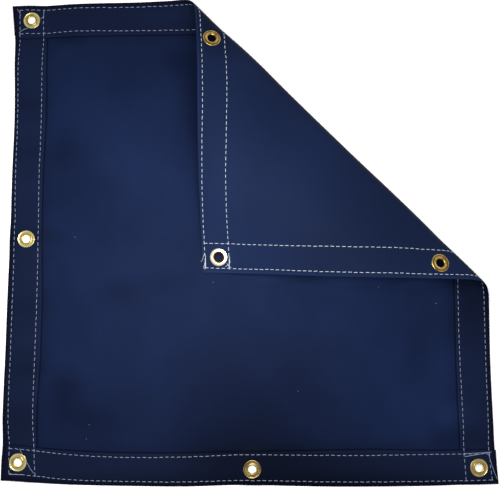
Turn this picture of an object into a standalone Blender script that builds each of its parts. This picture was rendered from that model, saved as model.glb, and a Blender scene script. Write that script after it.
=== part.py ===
"""A hemmed tarp of coated cloth lying flat, its upper right corner folded over, with eight brass eyelets.

The cloth is described by its pattern: u runs from the left edge to the right, v from the top edge down.
A pattern point is first laid flat, where the edges bow a little, then carried round the fold, and last
pressed flat where an eyelet clamps it. Lengths are in metres, +Z is up, and the tarp lies on Z = 0.
"""

import math
from typing import NamedTuple

import bmesh
import bpy
import numpy as np
from mathutils import Matrix, Vector

MM = 0.001

# Cloth
WIDTH = 762 * MM
HEIGHT = 776 * MM
HEM = 51 * MM
CLOTH_THICKNESS = 1.1 * MM
HEM_THICKNESS = 2.2 * MM
GAP = 0.3 * MM
SEAM_GAP = 0.4 * MM

# Fold: its axis runs at 45 degrees, from the top edge to the right edge
FOLD_OFFSET = 175 * MM
FOLD_LANDING = 3.8 * MM
FOLD_STEPS = 500
LANDING_HALVINGS = 40

# Facets
FOLD_FACET = 7 * MM
FOLD_FACETS_END = 115 * MM
CROWN_FACET = 14 * MM
FLAT_FACET = 26 * MM
CROSS_FACET = 105 * MM
CROSS_CUTS = 5
CUT_MERGE = 0.02 * MM

# Eyelets
BORE_RADIUS = 6.35 * MM
BARREL_RADIUS = 6.95 * MM
FLANGE_RADIUS = 14.0 * MM
FLANGE_DEPTH = 1.9 * MM
FLANGE_EDGE = 0.5 * MM
FLANGE_BEVEL = 1.0 * MM
FLANGE_CROWN = (9.4 * MM, 11.0 * MM)
THROAT_FLARE = 0.8 * MM
THROAT_DEPTH = 1.0 * MM
WASHER_RADIUS = 13.7 * MM
WASHER_THICKNESS = 0.4 * MM
RIM_FOOT = 1.2 * MM
RIM_WIDTH = 0.5 * MM
RIM_HEIGHT = 0.5 * MM
LIP_RADIUS = 9.3 * MM
LIP_HEIGHT = 4.3 * MM
LIP_ROUND = 0.7 * MM
LIP_CROWN = 1.4 * MM
EYELET_STEPS = 16
SEAT_RADIUS = 14.5 * MM
SEAT_CUTS = (-34 * MM, -22 * MM, -11 * MM, 11 * MM, 22 * MM, 34 * MM)
CUTTER_DEPTH = 24 * MM


class Turn(NamedTuple):
    """How far the cloth turns over one stretch of the fold, between two distances past its start."""

    degrees: float
    start: float
    end: float


class EdgeBow(NamedTuple):
    """How far each edge stands out from straight, at a fraction along it from the left or the top."""

    along: float
    top: float
    right: float
    bottom: float
    left: float


class Eyelet(NamedTuple):
    """An eyelet's place on the pattern, its hem, its lift, and how far its pressed seat reaches."""

    name: str
    hem: str
    u: float
    v: float
    lift: float
    reach: float


# The cloth turns fast at the outside of the fold, then slowly over its crown; the landing eases back
FAST_TURN = Turn(156.2, 0.0, 76.7 * MM)
SLOW_TURN = Turn(180.0 - 156.2, 38.3 * MM, 293.9 * MM)
EASE_BACK = Turn(0.0, 265.0 * MM, 390.5 * MM)
MOST_EASE = 80.0

EDGE_BOWS = (
    EdgeBow(0.000, -8.0, -3.5, -6.5, 5.5),
    EdgeBow(0.125, -2.0, -3.0, -1.0, 0.5),
    EdgeBow(0.250, 0.5, -1.5, 1.5, -2.5),
    EdgeBow(0.375, 2.5, 0.5, 2.0, -1.5),
    EdgeBow(0.500, -1.0, 2.0, 1.0, -1.0),
    EdgeBow(0.625, -3.5, -0.5, 2.5, 0.0),
    EdgeBow(0.750, -2.5, -1.5, 2.5, 0.5),
    EdgeBow(0.875, 1.0, 0.5, 1.0, 1.5),
    EdgeBow(1.000, -1.0, 4.0, -0.5, 0.5),
)
BOW_REACH = 0.30

EYELETS = (
    Eyelet("top_left", "hem_top", 30 * MM, 26 * MM, FLANGE_DEPTH, 40 * MM),
    Eyelet("top_middle", "hem_top", 381 * MM, 24 * MM, 0.0, 27 * MM),
    Eyelet("corner", "hem_top", WIDTH - 25 * MM, 27 * MM, 0.0, 40 * MM),
    Eyelet("left_middle", "hem_left", 27 * MM, 394 * MM, FLANGE_DEPTH, 40 * MM),
    Eyelet("right_middle", "hem_right", WIDTH - 24 * MM, 375 * MM, 0.0, 27 * MM),
    Eyelet("bottom_left", "hem_bottom", 26 * MM, HEIGHT - 29 * MM, FLANGE_DEPTH, 40 * MM),
    Eyelet("bottom_middle", "hem_bottom", 389 * MM, HEIGHT - 24 * MM, FLANGE_DEPTH, 40 * MM),
    Eyelet("bottom_right", "hem_bottom", WIDTH - 27 * MM, HEIGHT - 25 * MM, FLANGE_DEPTH, 40 * MM),
)


def ease(x):
    """A smooth step from 0 to 1."""
    x = np.clip(x, 0.0, 1.0)
    return x * x * (3.0 - 2.0 * x)


def turned(turn, distance):
    """The angle that a stretch has turned the cloth by, at these distances past the fold's start."""
    return math.radians(turn.degrees) * ease((distance - turn.start) / (turn.end - turn.start))


def fold_curve(spring):
    """Distances along the fold with the cloth's run and height, for a spring-back in degrees."""
    distance = np.linspace(0.0, EASE_BACK.end, FOLD_STEPS)
    angle = turned(FAST_TURN, distance)
    angle += turned(SLOW_TURN._replace(degrees=SLOW_TURN.degrees + spring), distance)
    angle -= turned(EASE_BACK._replace(degrees=spring), distance)
    step = distance[1]
    run = np.concatenate([[0.0], np.cumsum(np.cos((angle[1:] + angle[:-1]) / 2)) * step])
    height = np.concatenate([[0.0], np.cumsum(np.sin((angle[1:] + angle[:-1]) / 2)) * step])
    return distance, run, height


def landed_fold():
    """The fold curve whose end lands at FOLD_LANDING, found by halving the range of the spring-back."""
    low, high = 0.0, MOST_EASE
    for _ in range(LANDING_HALVINGS):
        spring = (low + high) / 2
        if fold_curve(spring)[2][-1] > FOLD_LANDING:
            low = spring
        else:
            high = spring
    return fold_curve(low)


FOLD_DISTANCE, FOLD_RUN, FOLD_HEIGHT = landed_fold()


def bow(side, along):
    """The outward bow of an edge, as a smooth curve through its column of EDGE_BOWS."""
    stations = np.array([row.along for row in EDGE_BOWS])
    values = np.array([getattr(row, side) for row in EDGE_BOWS]) * MM
    slopes = np.gradient(values, stations)
    along = np.clip(along, 0.0, 1.0)
    row = np.clip(np.searchsorted(stations, along, side="right") - 1, 0, len(stations) - 2)
    span = stations[row + 1] - stations[row]
    x = (along - stations[row]) / span
    rise = (1 + 2 * x) * (1 - x) ** 2 * values[row] + x * (1 - x) ** 2 * span * slopes[row]
    return rise + x * x * (3 - 2 * x) * values[row + 1] + x * x * (x - 1) * span * slopes[row + 1]


def laid(u, v):
    """Pattern points laid flat about the tarp's middle, x to the right and y up, with the edges' bows."""
    along_u, along_v = u / WIDTH, v / HEIGHT
    x = u - WIDTH / 2
    y = HEIGHT / 2 - v
    x = x + bow("right", along_v) * ease(1 - (1 - along_u) / BOW_REACH)
    x = x - bow("left", along_v) * ease(1 - along_u / BOW_REACH)
    y = y + bow("top", along_u) * ease(1 - along_v / BOW_REACH)
    y = y - bow("bottom", along_u) * ease(1 - (1 - along_v) / BOW_REACH)
    return x, y


def folded(u, v):
    """Pattern points after the fold: across runs towards the folded corner, beside along the fold."""
    x, y = laid(u, v)
    across = (x + y) / math.sqrt(2)
    beside = (y - x) / math.sqrt(2)
    distance = across - FOLD_OFFSET
    end = FOLD_DISTANCE[-1]
    run = np.interp(distance, FOLD_DISTANCE, FOLD_RUN)
    run = np.where(distance < 0, distance, run)
    run = np.where(distance > end, FOLD_RUN[-1] - (distance - end), run)
    across = FOLD_OFFSET + run
    height = np.interp(distance, FOLD_DISTANCE, FOLD_HEIGHT)
    return np.stack([(across - beside) / math.sqrt(2), (across + beside) / math.sqrt(2), height], axis=-1)


def seat(eyelet):
    """The plane that an eyelet presses its cloth to: its centre, and its directions along u and v."""
    step = FLANGE_RADIUS / 2
    middle = folded(eyelet.u, eyelet.v) + np.array([0.0, 0.0, eyelet.lift])
    along_u = folded(eyelet.u + step, eyelet.v) - folded(eyelet.u - step, eyelet.v)
    along_v = folded(eyelet.u, eyelet.v + step) - folded(eyelet.u, eyelet.v - step)
    return middle, along_u / np.linalg.norm(along_u), along_v / np.linalg.norm(along_v)


def cloth_points(u, v):
    """Pattern points on the cloth's reverse face, with the eyelets' seats pressed in."""
    points = folded(u, v)
    for eyelet in EYELETS:
        middle, along_u, along_v = seat(eyelet)
        du, dv = u - eyelet.u, v - eyelet.v
        pressed = 1 - ease((np.hypot(du, dv) - SEAT_RADIUS) / (eyelet.reach - SEAT_RADIUS))
        plane = middle + du[:, None] * along_u + dv[:, None] * along_v
        points = points + pressed[:, None] * (plane - points)
    return points


def material(name, colour, roughness, metallic):
    """A plain surface finish."""
    made = bpy.data.materials.new(name)
    made.use_nodes = True
    shader = made.node_tree.nodes["Principled BSDF"]
    shader.inputs["Base Color"].default_value = (*colour, 1.0)
    shader.inputs["Roughness"].default_value = roughness
    shader.inputs["Metallic"].default_value = metallic
    made.diffuse_color = (*colour, 1.0)
    return made


def new_object(name, mesh, collection, finish=None):
    """An object with this mesh, in this collection."""
    made = bpy.data.objects.new(name, mesh)
    collection.objects.link(made)
    if finish is not None:
        mesh.materials.append(finish)
    return made


def cut(bm, normal, distance):
    """Cuts the flat mesh along the line at this distance along the normal."""
    everything = bm.verts[:] + bm.edges[:] + bm.faces[:]
    bmesh.ops.bisect_plane(bm, geom=everything, dist=CUT_MERGE, plane_co=normal * distance, plane_no=normal)


def fold_cuts():
    """Distances of the cuts beside the fold's axis: close together in the fold, wide apart on the flat."""
    reach = (WIDTH + HEIGHT) / 2 / math.sqrt(2)
    start, end = FOLD_OFFSET - FOLD_FACET, FOLD_OFFSET + FOLD_DISTANCE[-1]
    flat = np.arange(start - FLAT_FACET, -reach, -FLAT_FACET)
    crown = FOLD_OFFSET + FOLD_FACETS_END
    tight = np.arange(start, crown, FOLD_FACET)
    wide = np.arange(crown, end, CROWN_FACET)
    return [*flat, *tight, *wide]


def cloth_mesh(name, left, top, right, bottom, eyelets):
    """A rectangle of the pattern, cut into facets and carried to its place on the folded cloth."""
    bm = bmesh.new()
    corners = ((left, bottom), (right, bottom), (right, top), (left, top))
    bm.faces.new([bm.verts.new((u - WIDTH / 2, HEIGHT / 2 - v, 0.0)) for u, v in corners])
    across = Vector((1.0, 1.0, 0.0)).normalized()
    beside = Vector((-1.0, 1.0, 0.0)).normalized()
    for distance in fold_cuts():
        cut(bm, across, distance)
    for step in range(-CROSS_CUTS, CROSS_CUTS + 1):
        cut(bm, beside, step * CROSS_FACET)
    for eyelet in eyelets:
        middle = Vector((eyelet.u - WIDTH / 2, HEIGHT / 2 - eyelet.v, 0.0))
        for offset in SEAT_CUTS:
            cut(bm, beside, middle.dot(beside) + offset)
            if eyelet.lift > 0:
                cut(bm, across, middle.dot(across) + offset)
    bm.verts.ensure_lookup_table()
    flat = np.array([vert.co[:2] for vert in bm.verts])
    places = cloth_points(flat[:, 0] + WIDTH / 2, HEIGHT / 2 - flat[:, 1])
    for vert, place in zip(bm.verts, places):
        vert.co = place
    mesh = bpy.data.meshes.new(name)
    bm.to_mesh(mesh)
    bm.free()
    return mesh


def eyelet_matrix(eyelet):
    """Where an eyelet sits: its Z axis stands on the hemmed face of the cloth."""
    middle, along_u, along_v = seat(eyelet)
    normal = np.cross(along_u, -along_v)
    normal /= np.linalg.norm(normal)
    side = np.cross(normal, along_u)
    rotation = Matrix(np.stack([along_u, side, normal], axis=1).tolist()).to_4x4()
    return Matrix.Translation(middle.tolist()) @ rotation


def bore_cutter(eyelet, collection):
    """A cylinder that cuts the cloth's hole for an eyelet's barrel."""
    bm = bmesh.new()
    radius = BARREL_RADIUS + GAP
    bmesh.ops.create_cone(
        bm, cap_ends=True, segments=EYELET_STEPS, radius1=radius, radius2=radius, depth=CUTTER_DEPTH
    )
    mesh = bpy.data.meshes.new("bore_" + eyelet.name)
    bm.to_mesh(mesh)
    bm.free()
    cutter = new_object("bore_" + eyelet.name, mesh, collection)
    cutter.matrix_world = eyelet_matrix(eyelet)
    cutter.hide_render = True
    cutter.display_type = "WIRE"
    return cutter


def cloth_piece(name, bounds, thickness, finish, collection, eyelets=(), cutters=None):
    """A sheet of cloth with its thickness, and its eyelet holes cut through."""
    made = new_object(name, cloth_mesh(name, *bounds, eyelets), collection, finish)
    solid = made.modifiers.new("Thickness", "SOLIDIFY")
    solid.thickness = thickness
    solid.offset = 1.0
    for eyelet in eyelets:
        hole = made.modifiers.new("Hole " + eyelet.name, "BOOLEAN")
        hole.operation = "DIFFERENCE"
        hole.solver = "EXACT"
        hole.object = bore_cutter(eyelet, cutters)
    return made


def turned_ring(name, profile, finish, collection):
    """A ring turned from a closed profile of radius and height, outer side downwards first."""
    bm = bmesh.new()
    points = [bm.verts.new((radius, 0.0, height)) for radius, height in profile]
    for first, second in zip(points, points[1:] + points[:1]):
        bm.edges.new((first, second))
    mesh = bpy.data.meshes.new(name)
    bm.to_mesh(mesh)
    bm.free()
    made = new_object(name, mesh, collection, finish)
    screw = made.modifiers.new("Turn", "SCREW")
    screw.steps = EYELET_STEPS
    screw.render_steps = EYELET_STEPS
    screw.use_merge_vertices = False
    screw.use_smooth_shade = True
    return made


def eyelet_profile():
    """The flange on the cloth's reverse face, the barrel through it, and the lip rolled over the washer."""
    under_lip = HEM_THICKNESS + 2 * GAP + WASHER_THICKNESS
    crown_inner, crown_outer = FLANGE_CROWN
    return (
        (LIP_RADIUS, LIP_HEIGHT - LIP_ROUND),
        (LIP_RADIUS - LIP_ROUND, under_lip),
        (BARREL_RADIUS, under_lip),
        (BARREL_RADIUS, -GAP),
        (FLANGE_RADIUS - FLANGE_EDGE, -GAP),
        (FLANGE_RADIUS, -GAP - FLANGE_EDGE),
        (FLANGE_RADIUS - FLANGE_BEVEL, -FLANGE_DEPTH + FLANGE_EDGE),
        (crown_outer, -FLANGE_DEPTH),
        (crown_inner, -FLANGE_DEPTH),
        (BORE_RADIUS + THROAT_FLARE, -FLANGE_DEPTH + THROAT_DEPTH),
        (BORE_RADIUS, 0.0),
        (BORE_RADIUS, under_lip),
        (BORE_RADIUS + LIP_ROUND, LIP_HEIGHT - LIP_ROUND),
        (BORE_RADIUS + LIP_CROWN, LIP_HEIGHT),
    )


def washer_profile():
    """A flat washer with a raised outer rim."""
    bottom = HEM_THICKNESS + GAP
    top = bottom + WASHER_THICKNESS
    return (
        (WASHER_RADIUS, top + RIM_HEIGHT),
        (WASHER_RADIUS, bottom),
        (BARREL_RADIUS + GAP, bottom),
        (BARREL_RADIUS + GAP, top),
        (WASHER_RADIUS - RIM_FOOT, top),
        (WASHER_RADIUS - RIM_WIDTH, top + RIM_HEIGHT),
    )


def cloth_sheets():
    """Each sheet's pattern rectangle and thickness: the hems, and the panel inside them."""
    inner = HEM + SEAM_GAP
    return {
        "panel": ((inner, inner, WIDTH - inner, HEIGHT - inner), CLOTH_THICKNESS),
        "hem_top": ((0.0, 0.0, WIDTH, HEM), HEM_THICKNESS),
        "hem_bottom": ((0.0, HEIGHT - HEM, WIDTH, HEIGHT), HEM_THICKNESS),
        "hem_left": ((0.0, inner, HEM, HEIGHT - inner), HEM_THICKNESS),
        "hem_right": ((WIDTH - HEM, inner, WIDTH, HEIGHT - inner), HEM_THICKNESS),
    }


def plan_middle(sheets):
    """The middle of the box round the sheets, seen from above."""
    corners = np.array([vert.co[:2] for sheet in sheets for vert in sheet.data.vertices])
    return (corners.min(axis=0) + corners.max(axis=0)) / 2


def main():
    """Builds the tarp."""
    for old in list(bpy.data.objects):
        bpy.data.objects.remove(old, do_unlink=True)
    tarp = bpy.data.collections.new("Tarp")
    cutters = bpy.data.collections.new("Cutters")
    bpy.context.scene.collection.children.link(tarp)
    bpy.context.scene.collection.children.link(cutters)
    navy = material("Navy coated cloth", (0.012, 0.020, 0.060), 0.55, 0.0)
    brass = material("Brass", (0.62, 0.42, 0.14), 0.25, 1.0)

    sheets = []
    for name, (bounds, thickness) in cloth_sheets().items():
        held = [eyelet for eyelet in EYELETS if eyelet.hem == name]
        sheets.append(cloth_piece(name, bounds, thickness, navy, tarp, held, cutters))

    fittings = []
    for eyelet in EYELETS:
        for kind, profile in (("eyelet_", eyelet_profile()), ("washer_", washer_profile())):
            ring = turned_ring(kind + eyelet.name, profile, brass, tarp)
            ring.matrix_world = eyelet_matrix(eyelet)
            fittings.append(ring)

    middle = plan_middle(sheets)
    ground = bpy.data.objects.new("tarp_place", None)
    tarp.objects.link(ground)
    for part in [*sheets, *fittings, *cutters.objects]:
        part.parent = ground
    ground.location = (-middle[0], -middle[1], 0.0)
    bpy.context.view_layer.update()


main()
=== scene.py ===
"""The looks of a hemmed tarp with one corner folded over: cloth, lockstitched hems, brass eyelets.

The cloth is worked out from its flat pattern. A point is first given by its sewing lines, a from the
left edge and b from the top edge, in which every stitch row and hem edge runs straight. Then come u
and v, the same point on the flat pattern with the rows' real wander, and last its place on the folded
cloth. Lengths are in metres unless a table says mm, +Z is up, and the tarp lies on Z = 0.
"""

import logging
import math
from collections.abc import Callable
from dataclasses import dataclass, field
from enum import Enum
from typing import NamedTuple

import bpy
import numpy as np
from mathutils import Matrix, Vector


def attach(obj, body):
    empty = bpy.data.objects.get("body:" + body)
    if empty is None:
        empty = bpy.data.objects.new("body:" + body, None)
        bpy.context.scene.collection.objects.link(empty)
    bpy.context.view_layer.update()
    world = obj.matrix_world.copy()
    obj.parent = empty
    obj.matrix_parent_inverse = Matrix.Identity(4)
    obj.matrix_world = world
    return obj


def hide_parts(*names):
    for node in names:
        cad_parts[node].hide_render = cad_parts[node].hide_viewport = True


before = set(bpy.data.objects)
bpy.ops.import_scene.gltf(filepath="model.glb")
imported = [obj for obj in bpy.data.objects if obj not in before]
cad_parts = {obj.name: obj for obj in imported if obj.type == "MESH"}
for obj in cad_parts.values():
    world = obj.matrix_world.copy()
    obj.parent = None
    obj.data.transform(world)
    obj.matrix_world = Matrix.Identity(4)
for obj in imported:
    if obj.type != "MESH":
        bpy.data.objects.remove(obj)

LOG = logging.getLogger("tarp")
MM = 0.001
ROOT_TWO = math.sqrt(2.0)
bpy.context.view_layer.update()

Array = np.ndarray
Material = bpy.types.Material
Piece = bpy.types.Object
Colour = tuple[float, float, float, float]
Point = tuple[float, float, float]
Column = tuple[float, ...]
Surface = Callable[[Array, Array], Array]


class Side(Enum):
    """The four sides of the pattern."""

    TOP = "top"
    RIGHT = "right"
    BOTTOM = "bottom"
    LEFT = "left"


class Row(Enum):
    """The lines that run along a hem: its two stitch rows and its turned-under inner edge."""

    OUTER = "outer"
    INNER = "inner"
    HEM = "hem"


STITCHED = (Row.OUTER, Row.INNER)


class Face(Enum):
    """The cloth's two faces: the one that the hems are turned to, and the other."""

    HEMMED = 1.0
    REVERSE = -1.0


class Turn(NamedTuple):
    """How far the cloth turns over one stretch of the fold, from one distance to another."""

    degrees: float
    start: float
    end: float


class EdgeBows(NamedTuple):
    """How far each edge stands out from straight, in mm, at fractions along it."""

    along: Column
    top: Column
    right: Column
    bottom: Column
    left: Column


class HemRows(NamedTuple):
    """How far a side's stitch rows and its hem's inner edge lie from its edge, in mm."""

    outer: Column
    inner: Column
    hem: Column


class EyeletSpot(NamedTuple):
    """An eyelet's name, its place on the pattern, its lift and how far its pressing reaches."""

    name: str
    u: float
    v: float
    lift: float
    reach: float


class Wave(NamedTuple):
    """A slow sine along a hem: its pace, and how far and at what pace a slower sine shifts it."""

    pace: float
    shift: float
    shift_pace: float

    def along(self, run: Array) -> Array:
        """The sine at each distance along the hem."""
        return np.sin(run / self.pace + self.shift * np.sin(run / self.shift_pace))


class Bulge(NamedTuple):
    """How far the fold swells out past its line, at a distance along it, both in mm."""

    beside: float
    swell: float


class ShadeLine(NamedTuple):
    """A painted shade line round a ring: its place and reach as shares of the section, its strength.
    """

    place: float
    reach: float
    share: float


class Grain(NamedTuple):
    """Cloudy noise: its scale per metre, its detail and its roughness."""

    scale: float
    detail: float = 2.0
    roughness: float = 0.5


class Relief(NamedTuple):
    """A bump: the distance in metres that its full height stands for, and its strength."""

    depth: float
    strength: float


class Layer(NamedTuple):
    """A colour that is laid over the cloth where a mark is: the mark, its share and the colour."""

    mark: str
    share: float
    colour: Colour


class Softbox(NamedTuple):
    """A square soft light: its place, its target, its side, its watts, whether shine shows it."""

    name: str
    place: Point
    aim: Point
    size: float
    power: float
    mirrored: bool


class Tail(NamedTuple):
    """A loose thread: its points as u, v and lift in mm, and its thickness in mm."""

    points: tuple[Point, ...]
    thickness: float


def table(kind: type, *rows: tuple) -> tuple:
    """Rows of one kind, made from plain ones."""
    return tuple(kind(*row) for row in rows)


def ease(x: Array) -> Array:
    """A smooth step from 0 to 1: three x squared less two x cubed, held flat outside 0 to 1."""
    x = np.clip(x, 0.0, 1.0)
    return x * x * (3.0 - 2.0 * x)


def through(stations: Array, values: Array, x: Array) -> Array:
    """A smooth curve through a table's values.

    Between two stations it is the cubic that meets both values with the table's own central slopes.

    Args:
        stations: Where the values stand, rising.
        values: The value at each station.
        x: Where the curve is wanted.

    Returns:
        The curve's values, in the shape of x.
    """
    slopes = np.gradient(values, stations)
    x = np.clip(x, stations[0], stations[-1])
    row = np.clip(np.searchsorted(stations, x, side="right") - 1, 0, len(stations) - 2)
    span = stations[row + 1] - stations[row]
    t = (x - stations[row]) / span
    start = (1 + 2 * t) * (1 - t) ** 2 * values[row] + t * (1 - t) ** 2 * span * slopes[row]
    end = t * t * (3 - 2 * t) * values[row + 1] + t * t * (t - 1) * span * slopes[row + 1]
    return start + end


def bell(x: Array, middle: float, width: float) -> Array:
    """A bell curve: e to the power of minus the squared way out from its middle, in widths."""
    away = (x - middle) / width
    return np.exp(-away * away)


def unit(vectors: Array) -> Array:
    """The vectors at length one."""
    return vectors / np.linalg.norm(vectors, axis=-1, keepdims=True)


def stepped(surface: Surface, u: Array, v: Array, step: float) -> tuple[Array, Array]:
    """How far a surface's points move over a step both ways along u, and the same along v."""
    along_u = surface(u + step, v) - surface(u - step, v)
    return along_u, surface(u, v + step) - surface(u, v - step)


class Patch(NamedTuple):
    """A soft round patch: its middle on the pattern and its reach both ways in mm, its strength."""

    u: float
    v: float
    reach_u: float
    reach_v: float
    strength: float

    def hill(self, u: Array, v: Array) -> Array:
        """A smooth round hill: 1 in the patch's middle, easing to 0 at its reach."""
        away_u = (u - self.u * MM) / (self.reach_u * MM)
        away_v = (v - self.v * MM) / (self.reach_v * MM)
        return ease(1 - np.hypot(away_u, away_v))


@dataclass(frozen=True)
class Fold:
    """The rolled fold's section, walked along the cloth from where it leaves the ground."""

    offset: float = 175 * MM
    landing: float = 3.8 * MM
    steps: int = 500
    halvings: int = 40
    most_spring: float = 80.0
    fast: Turn = Turn(156.2, 0.0, 76.7 * MM)
    slow: Turn = Turn(180.0 - fast.degrees, 38.3 * MM, 293.9 * MM)
    back: Turn = Turn(0.0, 265.0 * MM, 390.5 * MM)

    @staticmethod
    def turned(turn: Turn, distance: Array) -> Array:
        """The angle a stretch has turned by: its whole angle times a smooth step over it."""
        return math.radians(turn.degrees) * ease((distance - turn.start) / (turn.end - turn.start))

    def curve(self, spring: float) -> tuple[Array, Array, Array]:
        """The section for one spring-back.

        The angle is the sum of the fast and the slow turn, less the turn back. Run and height add up
        its cosine and sine.

        Args:
            spring: How far the cloth turns past flat before it eases back, in degrees.

        Returns:
            Distances along the cloth, and its run and height there.
        """
        distance = np.linspace(0.0, self.back.end, self.steps)
        angle = self.turned(self.fast, distance)
        angle += self.turned(self.slow._replace(degrees=self.slow.degrees + spring), distance)
        angle -= self.turned(self.back._replace(degrees=spring), distance)
        middle = (angle[1:] + angle[:-1]) / 2
        run = np.concatenate([[0.0], np.cumsum(np.cos(middle)) * distance[1]])
        height = np.concatenate([[0.0], np.cumsum(np.sin(middle)) * distance[1]])
        return distance, run, height

    def landed(self) -> tuple[Array, Array, Array]:
        """The section that comes down at the landing height, by halving the spring-back's range."""
        low, high = 0.0, self.most_spring
        for _ in range(self.halvings):
            spring = (low + high) / 2
            if self.curve(spring)[2][-1] > self.landing:
                low = spring
            else:
                high = spring
        return self.curve(low)


@dataclass
class Pattern:
    """The cloth's flat pattern and the way it lies, folds and is pressed by its eyelets."""

    width: float = 762 * MM
    height: float = 776 * MM
    hem: float = 51 * MM
    bow_reach: float = 0.30
    seat_radius: float = 14.5 * MM
    seat_step: float = 7 * MM
    probe: float = 0.5 * MM
    middle: tuple[float, float] = (-0.75290 * MM, -0.20701 * MM)
    fold: Fold = Fold()
    bows: EdgeBows = EdgeBows(
        along=(
            0.0, 0.03, 0.06, 0.09, 0.125, 0.19, 0.25, 0.375, 0.5,
            0.59, 0.64, 0.75, 0.81, 0.875, 0.94, 0.97, 1.0,
        ),
        top=(
            -5.3, -5.4, -5.6, -4.2, -2.3, -0.9, -0.3, 2.6, -1.0,
            -2.5, -2.8, -1.8, -0.3, 1.0, 0.3, -0.4, -1.0,
        ),
        right=(
            -3.5, -3.4, -2.6, -1.9, -1.6, -1.1, -0.5, 1.0, 2.0,
            0.8, 0.9, -0.3, 0.0, 0.9, 1.8, 2.9, 4.2,
        ),
        bottom=(
            -5.4, -5.0, -2.9, -1.4, 0.0, 1.5, 2.3, 3.1, 0.7,
            2.2, 2.9, 3.1, 2.6, 1.7, -0.1, -0.9, -1.0,
        ),
        left=(
            6.0, 3.4, 1.3, 0.3, 0.3, -1.4, -2.4, -1.4, -1.6,
            -0.5, -0.1, 0.4, 1.1, 1.4, -0.4, 0.3, 1.1,
        ),
    )
    eyelets: tuple[EyeletSpot, ...] = (
        EyeletSpot("top_left", 30 * MM, 26 * MM, 1.9 * MM, 40 * MM),
        EyeletSpot("top_middle", 381 * MM, 24 * MM, 0.0, 27 * MM),
        EyeletSpot("corner", 737 * MM, 27 * MM, 0.0, 40 * MM),
        EyeletSpot("left_middle", 27 * MM, 394 * MM, 1.9 * MM, 40 * MM),
        EyeletSpot("right_middle", 738 * MM, 375 * MM, 0.0, 27 * MM),
        EyeletSpot("bottom_left", 26 * MM, 747 * MM, 1.9 * MM, 40 * MM),
        EyeletSpot("bottom_middle", 389 * MM, 752 * MM, 1.9 * MM, 40 * MM),
        EyeletSpot("bottom_right", 735 * MM, 751 * MM, 1.9 * MM, 40 * MM),
    )
    bulge_reach: float = 130 * MM
    bulges: tuple[Bulge, ...] = table(
        Bulge,
        (-330, 0.2), (-258, 0.8), (-226, 0.4), (-190, 1.2), (-120, 1.6), (-50, 0.9),
        (20, 0.8), (120, 1.5), (188, 2.7), (225, 1.9), (256, 0.2), (330, 0.5),
    )
    bend_place: float = 41 * MM
    fold_shade_width: float = 14 * MM
    stub_left: float = 0.8 * MM
    stub_right: float = 1.7 * MM
    stub_reach: float = 16 * MM
    stub_blur: float = 1.2 * MM
    swells: tuple[Patch, ...] = table(
        Patch,
        (150, 300, 130, 170, 2.2), (330, 520, 170, 90, 1.8), (120, 560, 90, 110, 1.4),
        (580, 600, 120, 100, 1.6), (230, 130, 120, 70, 1.2),
    )
    section: tuple[Array, Array, Array] = field(init=False)

    def __post_init__(self) -> None:
        """Works the fold's section out once."""
        self.section = self.fold.landed()

    def bow(self, side: Side, along: Array) -> Array:
        """The outward bow of an edge: the smooth curve through its column of the table."""
        values = np.array(getattr(self.bows, side.value)) * MM
        return through(np.array(self.bows.along), values, along)

    def laid(self, u: Array, v: Array) -> tuple[Array, Array]:
        """Pattern points laid flat, as x to the right and y up from the tarp's middle.

        Each edge's bow is carried inwards by a smooth step, and the cut ends of the top and bottom
        hems stand out a little past the side edges.

        Args:
            u: Distances from the left edge.
            v: Distances from the top edge.

        Returns:
            The x and y of each point.
        """
        along_u, along_v = u / self.width, v / self.height
        x = u - self.width / 2
        y = self.height / 2 - v
        x = x + self.bow(Side.RIGHT, along_v) * ease(1 - (1 - along_u) / self.bow_reach)
        x = x - self.bow(Side.LEFT, along_v) * ease(1 - along_u / self.bow_reach)
        y = y + self.bow(Side.TOP, along_u) * ease(1 - along_v / self.bow_reach)
        y = y - self.bow(Side.BOTTOM, along_u) * ease(1 - (1 - along_v) / self.bow_reach)
        high_end = ease((self.hem + self.stub_blur - v) / self.stub_blur)
        left_end = high_end * ease(1 - u / self.stub_reach)
        low_end = ease((v - self.height + self.hem + self.stub_blur) / self.stub_blur)
        right_end = low_end * ease(1 - (self.width - u) / self.stub_reach)
        return x + self.stub_right * right_end - self.stub_left * left_end, y

    def folded(self, u: Array, v: Array) -> Array:
        """Pattern points on the cloth's reverse face after the fold.

        Across runs at 45 degrees towards the folded corner and beside along the fold. Past the fold's
        start the distance across is exchanged for the section's run and height. The fold then swells
        out by the smooth curve through the table of bulges, most at its outermost line.

        Args:
            u: Distances from the left edge.
            v: Distances from the top edge.

        Returns:
            An array of points, one more axis than u.
        """
        x, y = self.laid(u, v)
        distances, runs, heights = self.section
        beside = (y - x) / ROOT_TWO
        distance = (x + y) / ROOT_TWO - self.fold.offset
        run = np.interp(distance, distances, runs)
        run = np.where(distance < 0, distance, run)
        run = np.where(distance > distances[-1], runs[-1] - (distance - distances[-1]), run)
        places, swells = np.array(self.bulges).T * MM
        swell = through(places, swells, beside) * ease(distance / self.bend_place)
        swell = swell * ease(1 - (distance - self.bend_place) / self.bulge_reach)
        across = self.fold.offset + run + swell
        height = np.interp(distance, distances, heights)
        x = (across - beside) / ROOT_TWO - self.middle[0]
        y = (across + beside) / ROOT_TWO - self.middle[1]
        return np.stack([x, y, height], axis=-1)

    def bent(self, u: Array, v: Array) -> Array:
        """How near each point is to the fold's outermost line, where shade is painted: a bell curve
        over the distance.
        """
        x, y = self.laid(u, v)
        return bell((x + y) / ROOT_TWO - self.fold.offset, self.bend_place, self.fold_shade_width)

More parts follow.
